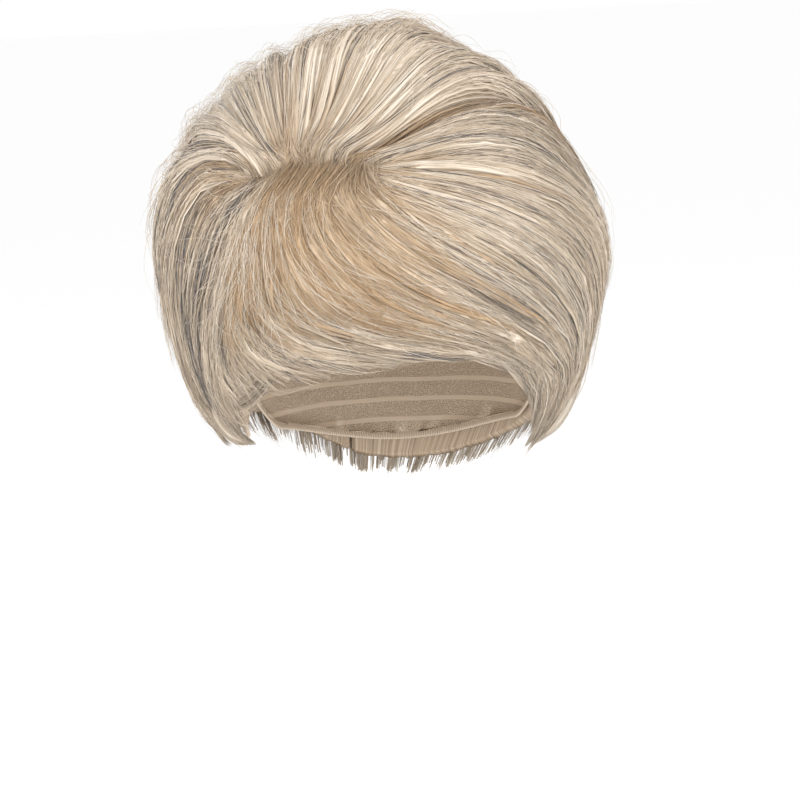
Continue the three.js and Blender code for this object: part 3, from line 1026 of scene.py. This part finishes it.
# number, places round the head, starts, lengths, turn, bend, height, height of the tip, tones
LOOSE_GROUPS = [
    (330, (12.0, 19.4), (0.0, 0.50), (0.020, 0.060), 0.016, 0.012, 0.0030, 0.0015, (0.72, 0.99)),
    (240, (2.0, 9.0), (0.25, 0.68), (0.020, 0.055), 0.008, 0.014, 0.0060, 0.0080, (0.45, 0.95)),
    (420, (2.6, 6.2), (0.34, 0.52), (0.016, 0.040), 0.009, 0.020, 0.0080, 0.0090, (0.35, 0.90)),
    (200, (0.0, 19.0), (0.15, 0.85), (0.030, 0.070), 0.006, 0.010, 0.0040, 0.0040, (0.40, 0.98)),
    # Short dark hairs along the parting: painted shade at the roots.
    (80, (3.0, 19.0), (-0.03, 0.03), (0.006, 0.016), 0.005, 0.004, 0.0010, 0.0006, (0.02, 0.16)),
]
rng = np.random.default_rng(70)
loose = [loose_hairs(rng, *group) for group in LOOSE_GROUPS]
add_hair(threads_mesh("loose_hairs", loose, hair_strands_finish))

# %% [markdown]
# ## The cap
# The hair is sewn to a cap of stretch net, with rows of stitching round it and a soft tape bound over its
# edge. The net starts as a sphere whose lower half is deleted. What is left is drawn down to the cap's edge,
# open in front and arched at the sides, and a Solidify modifier gives it its thickness. The tape is a torus,
# laid along the edge.

# %% The cap's net
CAP_EDGE = np.array([(0, 17), (45, -4), (72, -34), (100, -16), (130, -36), (180, -40)])  # azimuth, elevation
NET_SEGMENTS, NET_RINGS = 144, 60
NET_THICKNESS, NET_OFFSET = 0.0012, 0.0004
NET_HOLES, SEWN_ROWS = 1150, 33  # scales of the two patterns


def cap_edge_elevation(azimuth):
    turned = np.abs(azimuth)
    row = np.clip(np.searchsorted(CAP_EDGE[:, 0], turned), 1, len(CAP_EDGE) - 1)
    low, high = CAP_EDGE[row - 1], CAP_EDGE[row]
    u = smooth((turned - low[..., 0]) / (high[..., 0] - low[..., 0]))
    return low[..., 1] + (high[..., 1] - low[..., 1]) * u


def apply_modifiers(piece):
    select_only(piece)
    for modifier in list(piece.modifiers):
        bpy.ops.object.modifier_apply(modifier=modifier.name)


def make_cap_net():
    bpy.ops.object.select_all(action="DESELECT")
    bpy.ops.mesh.primitive_uv_sphere_add(segments=NET_SEGMENTS, ring_count=NET_RINGS, radius=1)
    piece = bpy.context.object
    piece.name = "cap_net"
    bpy.ops.object.mode_set(mode="EDIT")
    bpy.ops.mesh.select_all(action="SELECT")
    bpy.ops.mesh.bisect(plane_co=(0, 0, -0.001), plane_no=(0, 0, 1), clear_inner=True)
    bpy.ops.object.mode_set(mode="OBJECT")
    ball = read_points(piece)
    azimuth = np.degrees(np.arctan2(ball[:, 0], -ball[:, 1]))
    drop = 1 - np.degrees(np.arcsin(np.clip(ball[:, 2], 0, 1))) / 90
    outward = aim(azimuth, 90 + (cap_edge_elevation(azimuth) - 90) * drop)
    write_points(piece, CENTRE + outward * head_reach(outward, NET_OFFSET)[:, None])
    face_outwards(piece)
    wall = piece.modifiers.new("wall", "SOLIDIFY")
    wall.thickness = NET_THICKNESS
    wall.offset = 1
    apply_modifiers(piece)
    return piece


def net_material():
    material, tree, shader = new_material("cap_net_finish", 0.75)
    place = tree.nodes.new("ShaderNodeTexCoord")
    holes = tree.nodes.new("ShaderNodeTexVoronoi")
    holes.feature = "DISTANCE_TO_EDGE"
    holes.inputs["Scale"].default_value = NET_HOLES
    tree.links.new(place.outputs["Object"], holes.inputs["Vector"])
    threads_of_net = ramp(tree, holes.outputs["Distance"], [
        (0.0, (1, 1, 1)), (0.12, (0.75, 0.75, 0.75)), (0.26, (0, 0, 0)),
    ])
    rows = tree.nodes.new("ShaderNodeTexWave")
    rows.bands_direction = "Z"
    rows.inputs["Scale"].default_value = SEWN_ROWS
    rows.inputs["Distortion"].default_value = 0.6
    rows.inputs["Detail"].default_value = 1
    tree.links.new(place.outputs["Object"], rows.inputs["Vector"])
    sewn = ramp(tree, rows.outputs["Fac"], [(0.80, (0, 0, 0)), (0.92, (1, 1, 1))])
    cover = calculate(tree, "MAXIMUM", threads_of_net, sewn)
    colour_by(tree, shader, cover, [
        (0.0, (0.400, 0.310, 0.220)), (0.6, (0.560, 0.450, 0.335)), (1.0, (0.620, 0.510, 0.395)),
    ])
    add_bump(tree, shader, cover, 0.0004, 0.8)
    return material


cap_net = make_cap_net()
cap_net.data.materials.append(net_material())
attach(cap_net, "root")
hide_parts("cap")
print("net", len(cap_net.data.polygons), "faces")


# %% The tape along the cap's edge
RING = 0.25  # of the torus that the tape starts as
TAPE_OFFSET, TAPE_HALF_THICK, TAPE_HALF_WIDE = 0.00105, 0.0009, 0.0028
TAPE_RIBS = (130, 1.5, 1)


def make_edge_tape():
    bpy.ops.object.select_all(action="DESELECT")
    bpy.ops.mesh.primitive_torus_add(
        major_segments=216, minor_segments=12, major_radius=1, minor_radius=RING, generate_uvs=True,
    )
    piece = bpy.context.object
    piece.name = "edge_tape"
    piece.data.uv_layers[0].name = "tape"
    ring = read_points(piece)
    azimuth = np.degrees(np.arctan2(ring[:, 0], -ring[:, 1]))
    outside = (np.hypot(ring[:, 0], ring[:, 1]) - 1) / RING
    above = ring[:, 2] / RING
    outward = aim(azimuth, cap_edge_elevation(azimuth))
    upward = unit(aim(azimuth, cap_edge_elevation(azimuth) + 1.0) - outward)
    along_out = np.sign(outside) * np.abs(outside) ** 0.6
    reach = head_reach(outward, 0.0) + TAPE_OFFSET + TAPE_HALF_THICK * along_out
    write_points(piece, CENTRE + outward * reach[:, None] + upward * (TAPE_HALF_WIDE * above)[:, None])
    face_outwards(piece)
    return piece


def tape_material():
    material, tree, shader = new_material("edge_tape_finish", 0.7)
    ribs = tree.nodes.new("ShaderNodeTexWave")
    ribs.inputs["Scale"].default_value = 1.0
    ribs.inputs["Distortion"].default_value = 1.5
    tree.links.new(stretched(tree, uv_of(tree, "tape"), TAPE_RIBS), ribs.inputs["Vector"])
    colour_by(tree, shader, ribs.outputs["Fac"], [(0.0, (0.470, 0.370, 0.270)), (1.0, (0.640, 0.540, 0.430))])
    add_bump(tree, shader, ribs.outputs["Fac"], 0.0003, 0.7)
    return material


edge_tape = make_edge_tape()
edge_tape.data.materials.append(tape_material())
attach(edge_tape, "root")
print("tape", len(edge_tape.data.polygons), "faces")

# %% [markdown]
# ## Stage, light and camera
# A wide pale floor below the wig, large soft lights round it, and a long lens at the photo's angle.


# %% Floor
FLOOR_SIZE, FLOOR_HEIGHT = 60, -0.42


def pale_stage():
    bpy.ops.object.select_all(action="DESELECT")
    bpy.ops.mesh.primitive_plane_add(size=FLOOR_SIZE, location=(0, 0, FLOOR_HEIGHT))
    floor = bpy.context.object
    floor.name = "stage_floor"
    bpy.ops.object.transform_apply(location=True)
    material, _, shader = new_material("stage_finish", 0.9)
    shader.inputs["Base Color"].default_value = (0.98, 0.98, 0.98, 1)
    floor.data.materials.append(material)


pale_stage()


# %% Lights
def soft_light(name, place, target, size, power):
    light = bpy.data.lights.new(name, "AREA")
    light.shape = "SQUARE"
    light.size = size
    light.energy = power
    lamp = bpy.data.objects.new(name, light)
    lamp.location = place
    lamp.rotation_euler = (Vector(target) - Vector(place)).to_track_quat("-Z", "Y").to_euler()
    bpy.context.scene.collection.objects.link(lamp)


soft_light("key_light", (-0.7, -1.8, 0.7), (0, 0, -0.08), 1.2, 18)
soft_light("fill_light", (1.2, -1.5, 0.1), (0, 0, -0.08), 1.2, 12)
soft_light("top_light", (0.3, 0.4, 1.6), (0, 0, 0), 1.4, 4)
soft_light("back_light", (-0.6, 1.6, 0.5), (0, 0, -0.05), 1.2, 10)
world = bpy.data.worlds.new("studio_air")
world.use_nodes = True
world.node_tree.nodes["Background"].inputs["Color"].default_value = (1.0, 1.0, 1.0, 1)
world.node_tree.nodes["Background"].inputs["Strength"].default_value = 1.0
bpy.context.scene.world = world
bpy.context.scene.view_settings.view_transform = "Standard"

# %% Camera
IMAGE_PIXELS = 800
AIM_POINT = Vector((0.0, -0.088, -0.112))  # in the middle below the fringe, at AIM_PIXEL in the photo
AIM_PIXEL = (384.7, 410.0)
METRES_PER_PIXEL = 0.00046
DISTANCE = 1.65
VIEW_AZIMUTH, VIEW_ELEVATION, VIEW_ROLL = (math.radians(a) for a in (2.4, 7.0, 3.2))


def add_camera():
    back = Vector((
        math.sin(VIEW_AZIMUTH) * math.cos(VIEW_ELEVATION),
        -math.cos(VIEW_AZIMUTH) * math.cos(VIEW_ELEVATION),
        math.sin(VIEW_ELEVATION),
    ))
    level_right = Vector((math.cos(VIEW_AZIMUTH), math.sin(VIEW_AZIMUTH), 0))
    level_up = back.cross(level_right)
    right = math.cos(VIEW_ROLL) * level_right - math.sin(VIEW_ROLL) * level_up
    up = math.sin(VIEW_ROLL) * level_right + math.cos(VIEW_ROLL) * level_up
    off = [(p - IMAGE_PIXELS / 2) * METRES_PER_PIXEL for p in AIM_PIXEL]
    place = AIM_POINT + back * DISTANCE - right * off[0] + up * off[1]
    lens = bpy.data.cameras.new("photo_camera")
    lens.angle = 2 * math.atan(IMAGE_PIXELS / 2 * METRES_PER_PIXEL / DISTANCE)
    camera = bpy.data.objects.new("photo_camera", lens)
    camera.matrix_world = Matrix.Translation(place) @ Matrix((right, up, back)).transposed().to_4x4()
    bpy.context.scene.collection.objects.link(camera)
    bpy.context.scene.camera = camera
    print("camera at", [round(c, 4) for c in place], "field of view", round(math.degrees(lens.angle), 2))


add_camera()
